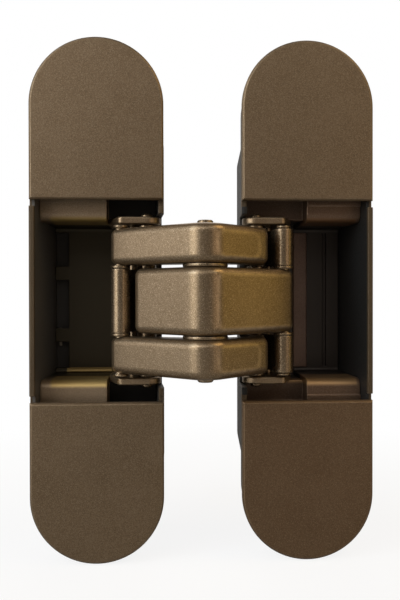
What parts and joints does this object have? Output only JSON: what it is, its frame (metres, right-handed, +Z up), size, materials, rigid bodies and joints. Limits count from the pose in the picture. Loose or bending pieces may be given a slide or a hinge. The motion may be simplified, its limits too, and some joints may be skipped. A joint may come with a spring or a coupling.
{
  "type": "concealed door hinge",
  "caption": "Concealed door hinge with round-ended housings, clip-on covers and a crossed-arm linkage that folds into both pockets.",
  "frame": {"origin": "middle of the frame side's screw pattern, on the back of its screw ends", "axes": "+Z up along the faces, +Y into the door frame and the open door leaf, +X from the frame side to the door side"},
  "size_m": [0.0724, 0.0368, 0.1098],
  "materials": {
    "bronze_paint": "satin metallic bronze",
    "arm_bronze": "satin metallic bronze",
    "dark_bronze": "satin dark bronze",
    "bush_plastic": "matt",
    "pin_steel": "dark plated"
  },
  "bodies": {
    "frame": {"frame_housing": "dark_bronze", "frame_carrier": "dark_bronze", "frame_clamp_screws": "pin_steel", "frame_ear_rivets": "pin_steel", "frame_cover_upper": "bronze_paint", "frame_ear_upper": "arm_bronze", "frame_cover_lower": "bronze_paint", "frame_ear_lower": "arm_bronze", "frame_arm_pin": "pin_steel", "frame_spacer_upper": "pin_steel", "frame_spacer_lower": "pin_steel"},
    "inner_arm": {"inner_arm": "arm_bronze", "door_link_pin": "pin_steel", "door_link_washer_upper": "pin_steel", "door_link_washer_lower": "pin_steel"},
    "outer_arm": {"outer_arm_upper": "arm_bronze", "outer_arm_lower": "arm_bronze", "centre_pin": "pin_steel", "centre_washer_upper": "pin_steel", "centre_washer_lower": "pin_steel", "frame_link_pin": "pin_steel", "frame_link_washer_upper": "pin_steel", "frame_link_washer_lower": "pin_steel"},
    "door": {"door_housing": "dark_bronze", "door_carrier": "dark_bronze", "door_clamp_screws": "pin_steel", "door_ear_rivets": "pin_steel", "door_cover_upper": "bronze_paint", "door_ear_upper": "arm_bronze", "door_cover_lower": "bronze_paint", "door_ear_lower": "arm_bronze", "door_arm_pin": "pin_steel", "door_wear_strip": "bush_plastic", "door_spacer": "pin_steel", "door_arm_washer_upper": "pin_steel", "door_arm_washer_lower": "pin_steel"},
    "frame_link": {"frame_pivot_pin": "pin_steel", "frame_link": "arm_bronze"},
    "door_link": {"door_pivot_pin": "pin_steel", "door_link_upper": "arm_bronze", "door_link_lower": "arm_bronze"}
  },
  "joints": [
    {"name": "frame_arm_pivot", "type": "hinge", "parent": "frame", "child": "inner_arm", "pos_m": [0.0103, -0.005, 0], "axis": [0, 0, -1], "range_deg": [0, 104.02]},
    {"name": "centre_pivot", "type": "hinge", "parent": "inner_arm", "child": "outer_arm", "pos_m": [0.0222, -0.0184, 0], "axis": [0, 0, 1], "range_deg": [0, 28.05]},
    {"name": "door_arm_pivot", "type": "hinge", "parent": "outer_arm", "child": "door", "pos_m": [0.0341, -0.005, 0], "axis": [0, 0, -1], "range_deg": [0, 104.04]},
    {"name": "frame_link_pivot", "type": "hinge", "parent": "outer_arm", "child": "frame_link", "pos_m": [0.0048, -0.0082, 0], "axis": [0, 0, -1], "range_deg": [0, 34.04]},
    {"name": "door_link_pivot", "type": "hinge", "parent": "inner_arm", "child": "door_link", "pos_m": [0.0396, -0.0082, 0], "axis": [0, 0, 1], "range_deg": [0, 34.04]}
  ],
  "couplings": [
    {"joint": "centre_pivot", "follows": "frame_arm_pivot", "ratio": 0.26952},
    {"joint": "door_arm_pivot", "follows": "frame_arm_pivot", "ratio": 1},
    {"joint": "frame_link_pivot", "follows": "frame_arm_pivot", "ratio": 0.32703},
    {"joint": "door_link_pivot", "follows": "frame_arm_pivot", "ratio": 0.32703}
  ]
}
